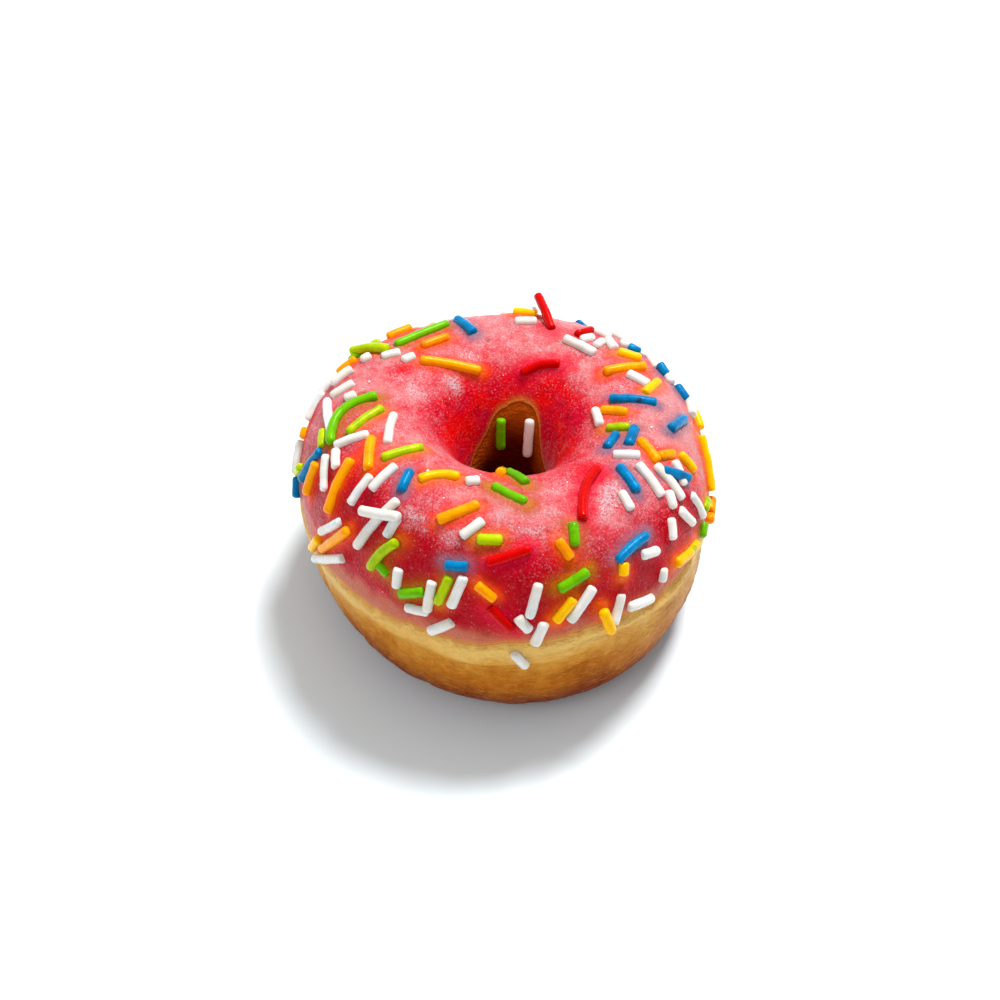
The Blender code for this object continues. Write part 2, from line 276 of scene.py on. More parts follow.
def newGroup(name, inputs, outputs):
    group = bpy.data.node_groups.new(name, "ShaderNodeTree")
    for label, value in inputs.items():
        kind = "NodeSocketVector" if isinstance(value, tuple) else "NodeSocketFloat"
        group.interface.new_socket(label, in_out="INPUT", socket_type=kind).default_value = value
    for label in outputs:
        group.interface.new_socket(label, in_out="OUTPUT", socket_type="NodeSocketFloat")
    return group, group.nodes.new("NodeGroupInput"), group.nodes.new("NodeGroupOutput")


def groupNode(tree, group, **values):
    made = tree.nodes.new("ShaderNodeGroup")
    made.node_tree = group
    feed(tree, made, values)
    return made


def scaleFor(tree, size):       # a texture scale from a size in millimetres
    return calculate(tree, "DIVIDE", 1 / mm, size)


# Fine sugar crystals: Grain is their uneven height, Speck how pale each is, Sparkle the few that
# catch the light
def makeGrain():
    group, given, out = newGroup("grain", {"Size": 0.4}, ("Grain", "Speck", "Sparkle"))
    place = addNode(group, "ShaderNodeTexCoord").outputs["Object"]
    scale = scaleFor(group, given.outputs["Size"])
    where = {"Vector": place, "Scale": scale}
    cells = addNode(group, "ShaderNodeTexVoronoi", where, feature="F1")
    soft = addNode(group, "ShaderNodeTexNoise", {**where, "Detail": 3.0, "Roughness": 0.6})
    grain = calculate(group, "MULTIPLY_ADD", cells.outputs["Distance"], -0.5, soft.outputs["Fac"])
    tone = addNode(group, "ShaderNodeSeparateColor", {"Color": cells.outputs["Color"]})
    chosen = spread(group, tone.outputs["Red"], 0.8, 0.95)
    near = spread(group, cells.outputs["Distance"], 0.42, 0.12)
    sparkle = calculate(group, "MULTIPLY", chosen, near)
    grain = spread(group, grain, 0.0, 0.55)
    feed(group, out, {"Grain": grain, "Speck": tone.outputs["Green"], "Sparkle": sparkle})
    return group


# Soft uneven clouds, from 0 to 1
def makeClouds():
    sockets = {"Size": 5.0, "Contrast": 0.3, "Detail": 3.0, "Stretch": (1.0, 1.0, 1.0)}
    group, given, out = newGroup("clouds", sockets, ("Cloud",))
    place = addNode(group, "ShaderNodeTexCoord").outputs["Object"]
    stretched = {0: place, 1: given.outputs["Stretch"]}
    pulled = addNode(group, "ShaderNodeVectorMath", stretched, operation="MULTIPLY")
    values = {"Vector": pulled.outputs[0], "Scale": scaleFor(group, given.outputs["Size"]),
              "Detail": given.outputs["Detail"], "Roughness": 0.55}
    soft = addNode(group, "ShaderNodeTexNoise", values)
    low = calculate(group, "SUBTRACT", 0.5, given.outputs["Contrast"])
    high = calculate(group, "ADD", 0.5, given.outputs["Contrast"])
    wire(group, spread(group, soft.outputs["Fac"], low, high), out.inputs["Cloud"])
    return group


# A soft-edged mark round one point
def makeMark():
    group, given, out = newGroup("mark", {"Centre": (0.0, 0.0, 0.0), "Radius": 1.0}, ("Mark",))
    place = addNode(group, "ShaderNodeTexCoord").outputs["Object"]
    ends = {0: place, 1: given.outputs["Centre"]}
    away = addNode(group, "ShaderNodeVectorMath", ends, operation="DISTANCE")
    radius = calculate(group, "MULTIPLY", given.outputs["Radius"], mm)
    share = calculate(group, "DIVIDE", away.outputs["Value"], radius)
    wire(group, spread(group, share, 1.0, 0.55), out.inputs["Mark"])
    return group


grainGroup = makeGrain()
cloudsGroup = makeClouds()
markGroup = makeMark()
even = (1.0, 1.0, 1.0)      # stretch of clouds that are as long as wide
print("shader groups made")


def cloudsOf(tree, look, *names):       # clouds that a look lists by size, contrast, detail and stretch
    made = []
    for name in names:
        size, contrast, detail, stretch = look["clouds"][name]
        node = groupNode(tree, cloudsGroup, Size=size, Contrast=contrast, Detail=detail, Stretch=stretch)
        made.append(node.outputs["Cloud"])
    return made


def masksOf(tree, names):       # masks that are kept in a piece's vertices
    return [addNode(tree, "ShaderNodeAttribute", attribute_name=name).outputs["Fac"] for name in names]


def finishOff(tree, shader, look, colour, rough, height):
    rough = spread(tree, rough, 0.0, 1.0, *look["roughness"])
    strength, depth = look["relief"]
    values = {"Strength": strength, "Distance": depth * mm, "Height": height}
    relief = addNode(tree, "ShaderNodeBump", values).outputs["Normal"]
    feed(tree, shader, {"Base Color": colour, "Roughness": rough, "Normal": relief})
    feed(tree, shader, look["plain"])


# Sprinkles: azimuth and roll of both ends, then where they differ from the usual a sideways
# bend and the heights of both ends over the icing
sprinkles = {
    "radius": 0.95,
    "sunk": 0.42,           # height of a sprinkle's middle over the icing
    "overhang": 1.45,       # the same for an end that reaches past the icing's edge
    "nearEdge": 1.0,        # roll beside the edge in which that height holds too
    "drape": 0.5,           # 1 follows the icing's curve, 0 stays straight
    "eye": (-1.0, -284.0, 304.0),       # the places below are read along lines from here
    "grazing": 0.4,         # where such a line is flatter to the skin, it isn't used
    "sides": 10,
    "points": (3, 7),       # along a straight one and a bent one
    "straight": 0.25,       # a smaller bend counts as none
    "ringLength": 1.1,      # length between the rings of a rod's faces
    "uneven": (1.3, 0.10),  # length and height of the unevenness along a rod
    "seed": 7,
    "places": {
        "green": [
            (134.2, 65.5, 111.3, 66.5), (145.5, 47, 142, 52, 0, 0.7, 0.7),
            (170, 82.5, 192, 60.5, -3.0), (232.5, 39, 237, 35.5), (241.5, 28.5, 248.5, 34.5),
            (292.7, 44, 283.8, 39), (293, 66.5, 290.7, 56), (264.2, 90, 279.2, 80.5),
            (272, 102, 282, 92), (341.5, 17, 337.5, 14),
        ],
        "lime": [
            (138.6, 66.5, 143.5, 48, 0, 0.9, 1.6), (136.5, 47, 133, 50, 0, 0.5, 0.5),
            (191, 69.5, 178, 85.5), (181.5, 55.5, 188.5, 54), (212, 77.5, 214.5, 95.5),
            (237.3, 52.5, 230.6, 33.5, -0.6, 1.3, 1.0), (255.2, 45, 252.5, 30.5),
            (261.3, 62, 269.3, 62.4), (355.3, 94, 355.3, 82.8), (348, 23, 343, 24),
            (184, 32, 180, 20, 0, 0.6, 0.7),
        ],
        "orange": [
            (131, 52, 122, 53.5, 0, 0.6, 0.5), (136, 84.5, 107.5, 102, -0.3),
            (128, 76.5, 114.5, 76.5), (151, 45, 146, 54), (192, 49, 195, 32), (204, 68, 209, 41),
            (198, 79, 213, 70.5), (209, 17, 219, 43.5), (262.5, 43, 267.6, 36.5),
            (347.5, 78, 339, 66), (342, 67, 347.5, 59.5), (286.3, 60.5, 288.8, 51),
            (35, 83.5, 31, 61), (11.5, 95.5, 5.5, 83.5), (267, 98, 268.5, 112),
            (247.3, 66.5, 259.6, 78), (354, 12, 349, 11, 0, 0.7, 0.7),
            (350.5, 8.5, 346, 9, 0, 0.6, 0.8), (172, 30, 169, 33),
        ],
        "yellow": [
            (231.8, 80.5, 246.3, 90.5, 1.0), (207.5, 22, 203, 6, 0, 0.6, 0.8),
            (287.6, 33.5, 282.3, 23.5), (303.7, 41.5, 302.4, 35.5),
            (295, 23, 297.5, 6, 0, 0.42, 1.45), (333.3, 17, 321.8, 21),
            (4.5, 41, 353, 19, 0, 0.5, 0.5), (349, 56.5, 348, 43.5), (42.5, 66.5, 35.5, 59.5),
            (16.5, 72.5, 23.5, 60), (16, 38, 9.5, 36, 0, 0.6, 0.6), (87, 58, 78.5, 59, 0, 0.6, 0.6),
        ],
        "blue": [
            (190, 54, 188.5, 31), (226, 82, 230, 72), (253.3, 49.2, 259.7, 50.2),
            (337.5, 62, 343.5, 46, 0, 1.0, 0.8), (355.5, 81, 343, 82.3), (351, 89, 338.5, 91.5),
            (327.5, 80.5, 321.5, 65.5), (314.5, 47, 301.7, 43.5, -0.4), (17, 90, 10.2, 68),
            (358.5, 63, 7, 52.5), (107.5, 62.5, 103.5, 77.5), (43.2, 58, 39.5, 54),
            (27, 51, 31.5, 53, 0, 0.6, 1.2), (23.5, 47.5, 18, 43, 0, 0.6, 0.6),
            (180, 17, 184, 8, 0, 0.6, 0.9),
        ],
        "red": [
            (266, 33, 272, 20.5), (319.5, 88, 295.5, 66.5, -1.6), (264.8, 52.5, 277.5, 58.3),
            (60.5, 70.5, 57.5, 60), (70.5, 73, 79.5, 56, 0, 0.0, 4.0), (77.2, 103, 56.2, 93, 0.6),
        ],
        "white": [
            (148.5, 61, 145, 63.5, 0, 0.7, 0.7), (143.5, 68, 137, 73), (141, 78.5, 134.5, 80),
            (160, 53, 153.5, 60.5, 0, 0.7, 0.7), (167, 57, 160.5, 66),
            (160, 42, 156.5, 50, 0, 0.6, 0.6), (168, 36, 160.5, 46, 0, 0.6, 0.6),
            (167.5, 55, 185, 61), (170.5, 66, 168, 71), (181.5, 90.5, 205, 84),
            (193, 62, 195.5, 78.5), (194.5, 62, 201.5, 58.5), (193, 56, 203, 46.5),
            (220, 65, 219.5, 80), (216, 54, 215.7, 70), (220.5, 55.5, 235, 62.5, 0, 1.6, 1.6),
            (224.5, 39.5, 231.5, 69, 0.3), (234.5, 62, 233.5, 52), (207.5, 27, 214.8, 43.5),
            (206.5, 5.5, 219.8, 27, 0, 1.1, 0.45), (240, 41.5, 240.3, 31), (250.5, 41, 249.8, 24.5),
            (243.5, 22, 250.3, 24), (250.7, 12, 257, 22.5), (259, 46, 256.2, 30.3),
            (273, 28, 276, 20), (278.8, 43.5, 275.9, 27), (279.8, 24.5, 277, 10.5),
            (293.2, 36.5, 285.8, 22), (300.7, 27.5, 297.8, 11.5), (302.3, 17.5, 311, 13.5),
            (316.5, 25.5, 315, 18.5), (325.5, 45, 322.5, 35), (331, 43, 333.5, 30.5),
            (339, 41.5, 340, 24.5), (331.5, 55, 328.5, 46.5), (333, 74, 327.5, 55.5),
            (337, 67, 334, 45), (344.3, 58.5, 338.7, 48), (333.8, 86.5, 338.8, 75),
            (316.5, 70.5, 314.3, 60.5), (309.8, 40, 316, 36.8), (63.5, 77, 47, 77.5),
            (57, 73.5, 54, 66.5), (50, 73, 50.5, 65.5), (57, 61, 50, 60), (50, 63, 44.5, 66),
            (46, 60, 42.5, 54, 0, 0.4, 0.6), (54, 53, 46, 51, 0, 0.6, 0.6), (38, 49, 30.5, 54),
            (31, 49, 23, 52, 0, 0.7, 0.7), (29.3, 74, 21, 67.5), (15, 98, 359, 97.3),
            (21, 41, 10.5, 46, 0, 0.8, 0.8), (81, 60, 80, 50, 0, 0.8, 1.1), (86, 69.5, 77.5, 67),
            (250.5, 88.5, 257, 91.5), (262.5, 70.5, 256.3, 62), (171, 27, 178, 14, 0, 0.6, 0.9),
        ],
    },
    # These missed the icing and lie on the dough
    "onDough": {"green": [(94, 123.5, 95.5, 141)], "white": [(62, 121.5, 55, 143), (272, 6, 275.3, -4)]},
    # The far flank, spread by rule
    "far": {"seed": 24, "count": 30, "tries": 4000, "spacing": 4.2, "lengths": (4.0, 9.0),
            "rolls": (14, 62), "azimuths": (8, 172), "facing": -0.35, "margin": 4},
    "farMix": ["white", "orange", "white", "lime", "yellow", "blue", "white", "green", "white", "red"],
}


def seenFromEye(point, normal, height):     # this high over the skin, on the line on which it was read
    sight = (Vector(sprinkles["eye"]) - point).normalized()
    facing = sight.dot(normal)
    if facing < sprinkles["grazing"]:
        return point + normal * height
    return point + sight * (height / facing)


def middleLine(ends, read, onIcing):
    usual = (0.0, sprinkles["sunk"], sprinkles["sunk"])
    azimuth, roll, endAzimuth, endRoll, bend, low, high = (*ends, *usual[len(ends) - 4:])
    arc = turned(endAzimuth, azimuth)
    count = sprinkles["points"][abs(bend) > sprinkles["straight"]]
    draped = []
    for i in range(count):
        t = i / (count - 1)
        a = azimuth + arc * t
        r = roll + (endRoll - roll) * t
        height = low + (high - low) * t
        if onIcing and r < plainOuterEdge(a) + sprinkles["nearEdge"]:
            height = max(height, sprinkles["overhang"])
        normal = outward(a, r)
        at = surface(a, r)
        draped.append(seenFromEye(at, normal, height) if read else at + normal * height)
    start, end = draped[0], draped[-1]
    up = outward(azimuth + arc / 2, (roll + endRoll) / 2)
    sag = draped[count // 2] - (start + end) / 2
    side = up.cross(end - start).normalized()
    line = []
    for i, point in enumerate(draped):
        t = i / (count - 1)
        straight = start.lerp(end, t) + sag
        line.append(straight.lerp(point, sprinkles["drape"]) + side * bend * sin(pi * t))
    return line, up


def farSide(taken):
    far = sprinkles["far"]
    draw = random.Random(far["seed"])
    middles = [surface(a + turned(b, a) / 2, (r + s) / 2) for a, r, b, s in taken]
    found = []
    for _ in range(far["tries"]):
        azimuth = draw.uniform(*far["azimuths"])
        roll = draw.uniform(*far["rolls"])
        heading = draw.uniform(0, pi)
        length = draw.uniform(*far["lengths"])
        middle = surface(azimuth, roll)
        facing = (Vector(sprinkles["eye"]) - middle).normalized().dot(outward(azimuth, roll))
        close = any((middle - other).length < far["spacing"] for other in middles)
        if facing > far["facing"] or close or len(found) == far["count"]:
            continue
        halfArc = degrees(length / 2 * cos(heading) / hypot(middle.x, middle.y))
        halfRoll = degrees(length / 2 * sin(heading) / (ring["crestHeight"] - ring["coreHeight"]))
        if roll - abs(halfRoll) < plainOuterEdge(azimuth) + far["margin"]:
            continue
        middles.append(middle)
        found.append((azimuth - halfArc, roll - halfRoll, azimuth + halfArc, roll + halfRoll))
    return found


def allLines():     # middle line and upward direction of every sprinkle, by kind
    lines = {kind: [middleLine(ends, True, True) for ends in places]
             for kind, places in sprinkles["places"].items()}
    placed = [ends[:4] for places in sprinkles["places"].values() for ends in places]
    mix = sprinkles["farMix"]
    for i, ends in enumerate(farSide(placed)):
        lines[mix[i % len(mix)]].append(middleLine(ends, False, True))
    onIcing = {kind: len(found) for kind, found in lines.items()}
    for kind, places in sprinkles["onDough"].items():
        lines[kind] += [middleLine(ends, True, False) for ends in places]
    return lines, onIcing


lines, onIcing = allLines()
print("sprinkles placed:", {kind: len(found) for kind, found in lines.items()})


def insideBox(point):
    return Vector([max(low, min(high, value)) for low, value, high in zip(cadBox[0], point, cadBox[1])])


def rod(line, up, draw):    # a round-ended rod bent along the line
    length = sum((b - a).length for a, b in zip(line, line[1:]))
    radius = sprinkles["radius"] * draw.uniform(0.96, 1.1)
    mesh = bmesh.new()
    bmesh.ops.create_cone(mesh, segments=sprinkles["sides"], radius1=radius, radius2=radius,
                          depth=length, cap_ends=True)
    rims = [edge for edge in mesh.edges if abs(edge.verts[0].co.z - edge.verts[1].co.z) < length / 2]
    bmesh.ops.bevel(mesh, geom=rims, offset=radius * draw.uniform(0.38, 0.62), offset_type="OFFSET",
                    segments=2, profile=0.5, affect="EDGES", material=-1)
    cuts = len(line) - 1
    rings = max(cuts, round(length / sprinkles["ringLength"]))
    for i in range(1, rings):
        bmesh.ops.bisect_plane(mesh, geom=mesh.verts[:] + mesh.edges[:] + mesh.faces[:],
                               plane_co=(0, 0, length * (i / rings - 0.5)), plane_no=(0, 0, 1))
    tone = mesh.verts.layers.float.new("tone")
    shade = draw.uniform(-1, 1)
    apart = draw.uniform(0, 100)
    wave, height = sprinkles["uneven"]
    twist = Matrix.Rotation(draw.uniform(0, tau), 3, "Z")
    for vertex in mesh.verts:
        vertex.co = twist @ vertex.co
        t = (vertex.co.z / length + 0.5) * cuts
        i = min(cuts - 1, max(0, int(t)))
        before = (line[i + 1] - line[max(0, i - 1)]).normalized()
        after = (line[min(cuts, i + 2)] - line[i]).normalized()
        along = before.lerp(after, t - i).normalized()
        side = along.cross(up).normalized()
        fat = 1 + height * noise.noise(Vector((vertex.co.x, vertex.co.y + apart, vertex.co.z)) / wave)
        at = line[i].lerp(line[i + 1], t - i)
        over = side.cross(along)
        vertex.co = insideBox(metres(at + side * vertex.co.x * fat - over * vertex.co.y * fat))
        vertex[tone] = shade
    bmesh.ops.recalc_face_normals(mesh, faces=mesh.faces[:])
    return dataFrom(mesh, "rod")


# Colours of the sprinkles, and of the dye that each has let into the wet icing
kinds = {
    "green": {"colour": (0.15, 0.46, 0.0), "dark": (0.08, 0.31, 0.0),
              "halo": (0.46, 0.20, 0.0), "dye": (0.40, 0.08, 0.0), "reach": 1.8},
    "lime": {"colour": (0.44, 0.57, 0.0), "dark": (0.22, 0.38, 0.0),
             "halo": (0.60, 0.24, 0.0), "dye": (0.60, 0.07, 0.0), "reach": 1.8},
    "orange": {"colour": (0.98, 0.36, 0.0), "dark": (0.82, 0.19, 0.0),
               "halo": (0.94, 0.15, 0.0), "dye": (0.70, 0.015, 0.001), "reach": 1.8},
    "yellow": {"colour": (0.98, 0.52, 0.0), "dark": (0.90, 0.40, 0.0),
               "halo": (0.94, 0.22, 0.0), "dye": (0.74, 0.045, 0.0), "reach": 1.75},
    "blue": {"colour": (0.0, 0.22, 0.48), "dark": (0.0, 0.10, 0.28),
             "halo": (0.12, 0.15, 0.24), "dye": (0.26, 0.10, 0.15), "reach": 1.35},
    "red": {"colour": (0.62, 0.0, 0.0), "dark": (0.44, 0.0, 0.0),
            "halo": (0.62, 0.0, 0.045), "dye": (0.62, 0.0, 0.02), "reach": 2.3},
    "white": {"colour": (0.80, 0.77, 0.75), "dark": (0.69, 0.66, 0.62), "dye": None},
}
sugarLook = {
    "clouds": {"tone": (1.6, 0.2, 2.0, even), "cream": (4.5, 0.12, 1.0, even),
               "sky": (3.1, 0.2, 0.0, (1.0, 1.3, 0.9))},
    "uneven": (0.3, 0.6),       # how far each sprinkle and each place on it goes to the dark colour
    "grainSize": 0.3,
    "creamTint": (0.66, 0.57, 0.38),
    "cream": 0.3,
    "skyTint": (0.38, 0.58, 0.62),
    "sky": (0.97, 1.0, 0.0, 0.25),
    "greenSpot": (330.0, 19.5, 1.0),        # azimuth, roll and radius of a spot on a yellow one
    "plumSmear": (13.2, 77.0, 1.1),         # and of a smear on a blue one
    "plum": (0.03, 0.0, 0.02),
    "roughness": (0.2, 0.34),
    "relief": (0.14, 0.06),     # strength and depth of the bumps
    "plain": {"Subsurface Weight": 0.2, "Subsurface Radius": (1.0, 0.8, 0.6), "Subsurface Scale": 0.6 * mm,
              "Specular IOR Level": 0.35},
}


def markAt(tree, place, height):
    azimuth, roll, radius = place
    at = metres(seenFromEye(surface(azimuth, roll), outward(azimuth, roll), height))
    return groupNode(tree, markGroup, Centre=tuple(at), Radius=radius).outputs["Mark"]


def sprinkleFinish(kind):
    look = kinds[kind]
    tree, shader, made = newMaterial(kind + "Sugar")
    cloud, = cloudsOf(tree, sugarLook, "tone")
    grain = groupNode(tree, grainGroup, Size=sugarLook["grainSize"]).outputs["Grain"]
    byTone, byCloud = sugarLook["uneven"]
    share = product(tree, cloud, byCloud)
    share = calculate(tree, "MULTIPLY_ADD", masksOf(tree, ["tone"])[0], byTone, share, clamp=True)
    colour = mixColours(tree, share, look["colour"], look["dark"])
    if kind == "white":
        cream, sky = cloudsOf(tree, sugarLook, "cream", "sky")
        colour = mixColours(tree, product(tree, cream, sugarLook["cream"]), colour, sugarLook["creamTint"])
        colour = mixColours(tree, spread(tree, sky, *sugarLook["sky"]), colour, sugarLook["skyTint"])
    if kind == "yellow":
        spot = product(tree, markAt(tree, sugarLook["greenSpot"], 1.2), 0.8)
        colour = mixColours(tree, spot, colour, kinds["lime"]["dark"])
    if kind == "blue":
        smear = product(tree, markAt(tree, sugarLook["plumSmear"], 1.3), cloud)
        colour = mixColours(tree, smear, colour, sugarLook["plum"])
    finishOff(tree, shader, sugarLook, colour, grain, grain)
    feed(tree, shader, {"Specular Tint": [0.12 + 0.88 * part for part in look["colour"]]})
    return made


def makeSprinkles(kind):
    draw = random.Random(sprinkles["seed"] + sorted(kinds).index(kind))
    mesh = bmesh.new()
    for line, up in lines[kind]:
        data = rod(line, up, draw)
        mesh.from_mesh(data)
        bpy.data.meshes.remove(data)
    return pieceFrom(mesh, kind + "Sprinkles", sprinkleFinish(kind), ["icing"])


for kind in kinds:
    makeSprinkles(kind)
print("sprinkles made")

# The skin that dough and icing share: low lumps, so that both rise and fall together
skin = {"lumps": (9.0, 0.22), "dimples": (3.4, 0.07)}


def skinRelief(point):
    size, height = skin["lumps"]
    fineSize, fineHeight = skin["dimples"]
    return height * noise.noise(point / size) + fineHeight * noise.noise(point / fineSize)


# Icing: a closed shell that slopes down to the dough at its edges and climbs at each sprinkle
icing = {
    "acrossSteps": 96,
    "masks": ("deep", "frostAndSheen", "rim", "pit", "margin", "flank"),
    "thick": 1.5,
    "rimThick": 0.12,
    "rimDrop": 0.12,
    "rimWidth": 3.0,            # roll over which the skin slopes down at an edge
    "fillWidth": 7.0,
    "crowding": 0.6,            # closer rows of faces near both edges
    "dimples": (1.7, 0.045),
    "meniscus": 0.38,           # height to which it climbs at a sprinkle
    "climb": (0.95, 0.7),       # distance from a sprinkle's middle where it is highest, and its width
    "pits": [(167, 101), (154, 113), (167, 75), (236, 63), (310, 21), (38, 75), (25, 111),
             (284, 65), (143, 109), (230, 83), (322, 52), (262, 80), (60, 78), (98, 84),
             (340, 100)],
    # the flanks' darker red is painted shade, where they turn from the key light
    "flank": (86, 50),          # roll over which the red turns into the darker one of the flanks
    "marginWidth": 17.0,        # roll over which it thins out and lets the dough through
    "dyeRange": 4.2,
    "haloWidth": 0.85,          # the brightest dye, right beside a sprinkle
    "pitRadius": 0.55,
    "pitDepth": 0.22,
    # azimuth, roll, half widths and amount of the deeper red, where the icing is thick and where painted
    # shade falls on the slopes and hole wall turned from the key light
    "deep": [(80, 118, 70, 17, 1.0), (160, 128, 40, 19, 1.0), (335, 118, 40, 12, 0.5),
             (30, 110, 26, 10, 0.6), (265, 40, 26, 17, 0.85), (306, 30, 24, 14, 0.9),
             (206, 41, 24, 21, 1.0), (238, 47, 15, 14, 0.7), (216, 34, 16, 12, 0.5),
             (222, 62, 12, 10, 0.4), (332, 38, 18, 14, 0.85), (262, 22, 26, 8, 0.5),
             (146, 84, 5, 5, 0.6), (300, 105, 60, 18, 0.2), (352, 45, 14, 24, -0.2),
             (316, 84, 8, 14, 0.5), (212, 58, 16, 12, 0.4), (85, 70, 60, 16, -0.1),
             (242, 12, 30, 7, -0.6), (190, 12, 16, 8, -0.4), (250, 42, 70, 24, 0.25),
             (5, 52, 28, 20, -0.25), (60, 25, 90, 16, -0.3)],
    # the same for a frosty bloom of fine sugar, which also stands for a painted highlight: the key light's
    # broad sheen on the crest and on the far side of the hole
    "frostAndSheen": [(154, 98, 10, 6, 0.5), (130, 107, 8, 5, 0.6), (126, 99, 9, 5, 0.75),
              (112, 95, 10, 5, 0.7), (82, 87, 34, 8, 0.35), (26, 115, 5, 4, 0.5),
              (2, 119, 6, 4, 0.45), (275, 69, 9, 6, 0.36), (267, 74, 10, 6, 0.3),
              (283, 61, 9, 5, 0.55), (313, 75, 7, 6, 0.85), (330, 80, 10, 6, 0.5),
              (353, 79, 18, 8, 0.6), (308, 68, 7, 6, 0.7), (238, 63, 5, 5, 0.7),
              (250, 64, 11, 5, 0.45), (166, 113, 8, 8, 0.4), (217, 97, 12, 8, 0.4),
              (160, 89, 16, 9, 0.4), (35, 82, 30, 10, 0.35)],
}
dyePoints = [(a.lerp(b, part / 4), kind)
             for kind, found in lines.items()
             for line, _ in found[:onIcing[kind]]
             for a, b in zip(line, line[1:])
             for part in range(5)]
nearby = treeOf([point for point, _ in dyePoints])
pits = treeOf([surface(azimuth, roll) for azimuth, roll in icing["pits"]])


def rimDepth(fromEdge):
    return icing["rimDrop"] * bump(fromEdge, icing["rimWidth"])


def thickness(fromEdge):
    full = 1 - bump(fromEdge, icing["fillWidth"])
    return icing["rimThick"] + (icing["thick"] - icing["rimThick"]) * full


def icingPlace(azimuth, step):      # over the top, then back along the underside
    across = icing["acrossSteps"]
    under = step > across
    t = (2 * across + 1 - step if under else step) / across
    t -= icing["crowding"] * sin(tau * t) / tau
    low, high = outerEdge(azimuth), innerEdge(azimuth)
    roll = low + (high - low) * t
    fromEdge = min(t, 1 - t) * (high - low)
    point = surface(azimuth, roll)
    depth = rimDepth(fromEdge) - skinRelief(point)
    if under:
        return roll, depth + thickness(fromEdge)
    inside = 1 - bump(fromEdge, icing["rimWidth"])
    size, height = icing["dimples"]
    depth -= inside * height * noise.noise(point / size)
    away = nearby.find(point)[2]
    highest, width = icing["climb"]
    depth -= inside * icing["meniscus"] * bump(max(0.0, away - highest), width)
    depth += inside * icing["pitDepth"] * bump(pits.find(point)[2], icing["pitRadius"])
    return roll, depth


def patches(listed, azimuth, roll, point):
    drift = noise.noise(point / 4.0)
    found = 0.0
    for at, centre, halfAzimuth, halfRoll, amount in listed:
        found += amount * bump(turned(azimuth, at), halfAzimuth) * bump(roll + 5 * drift - centre, halfRoll)
    return found


def dyeAt(point):       # colour and share of the dye that the sprinkles near this point have let out
    total = 0.0
    colour = Vector((0, 0, 0))
    strongest = 0.0
    for _, index, away in nearby.find_range(point, icing["dyeRange"]):
        look = kinds[dyePoints[index][1]]
        if not look["dye"]:
            continue
        away = max(0.0, away - sprinkles["radius"])
        share = bump(away, look["reach"])
        total += share
        colour += Vector(look["dye"]).lerp(Vector(look["halo"]), bump(away, icing["haloWidth"])) * share
        strongest = max(strongest, share)
    if total < 0.001:
        return (0.0, 0.0, 0.0, 0.0)
    return (*(colour / total), strongest)


def markIcing(mesh, places):
    layers = {name: mesh.verts.layers.float[name] for name in icing["masks"]}
    dye = mesh.verts.layers.float_color["dye"]
    for vertex, azimuth, roll in places:
        low, high = outerEdge(azimuth), innerEdge(azimuth)
        fromEdge = min(roll - low, high - roll)
        point = surface(azimuth, roll)
        vertex[layers["rim"]] = bump(fromEdge, 2.2)
        vertex[layers["deep"]] = patches(icing["deep"], azimuth, roll, point)
        vertex[layers["frostAndSheen"]] = patches(icing["frostAndSheen"], azimuth, roll, point)
        vertex[layers["margin"]] = bump(roll - low, icing["marginWidth"])
        vertex[layers["flank"]] = smooth(*icing["flank"], roll)
        vertex[layers["pit"]] = bump(pits.find(point)[2], icing["pitRadius"])
        vertex[dye] = dyeAt(point)


icingLook = {
    "pale": (0.60, 0.18, 0.18),
    "pink": (0.60, 0.025, 0.045),
    "red": (0.68, 0.0, 0.0),
    "plum": (0.54, 0.0, 0.02),
    "shadedCrimson": (0.43, 0.0, 0.008),
    "thin": (0.50, 0.13, 0.07),
    "bruise": (0.30, 0.0, 0.010),
    "doughTint": (0.66, 0.24, 0.03),
    # the pale of frost and specks, also the colour of the painted sheen and glints
    "bloomAndSheen": (0.51, 0.38, 0.40),
    "clouds": {"broad": (6.0, 0.22, 4.0, even), "fine": (1.3, 0.2, 3.0, even),
               "plums": (5.0, 0.15, 3.0, (0.9, 1.0, 1.1)), "ragged": (2.4, 0.22, 8.0, even),
               "spots": (1.4, 0.12, 4.0, (1.0, 1.1, 0.9))},
    "mottling": (0.34, 0.24, 0.05),     # what the broad and the fine clouds add, and the least red
    # the most of each that shows
    "most": {"sheer": 0.9, "bruise": 0.35, "grit": 0.16, "frostAndSheen": 0.72, "milk": 0.32, "speck": 0.3},
    "sparkle": 0.3,
    "rim": 0.8,
    "pit": 0.7,
    "grainSize": 0.5,
    "speckSize": 0.24,
    "roughness": (0.34, 0.56),
    "relief": (0.6, 0.14),
    "plain": {"Subsurface Weight": 0.25, "Subsurface Radius": (1.0, 0.2, 0.15),
              "Subsurface Scale": 1.0 * mm, "IOR": 1.35, "Specular IOR Level": 0.35,
              "Specular Tint": (1.0, 0.2, 0.2)},
}


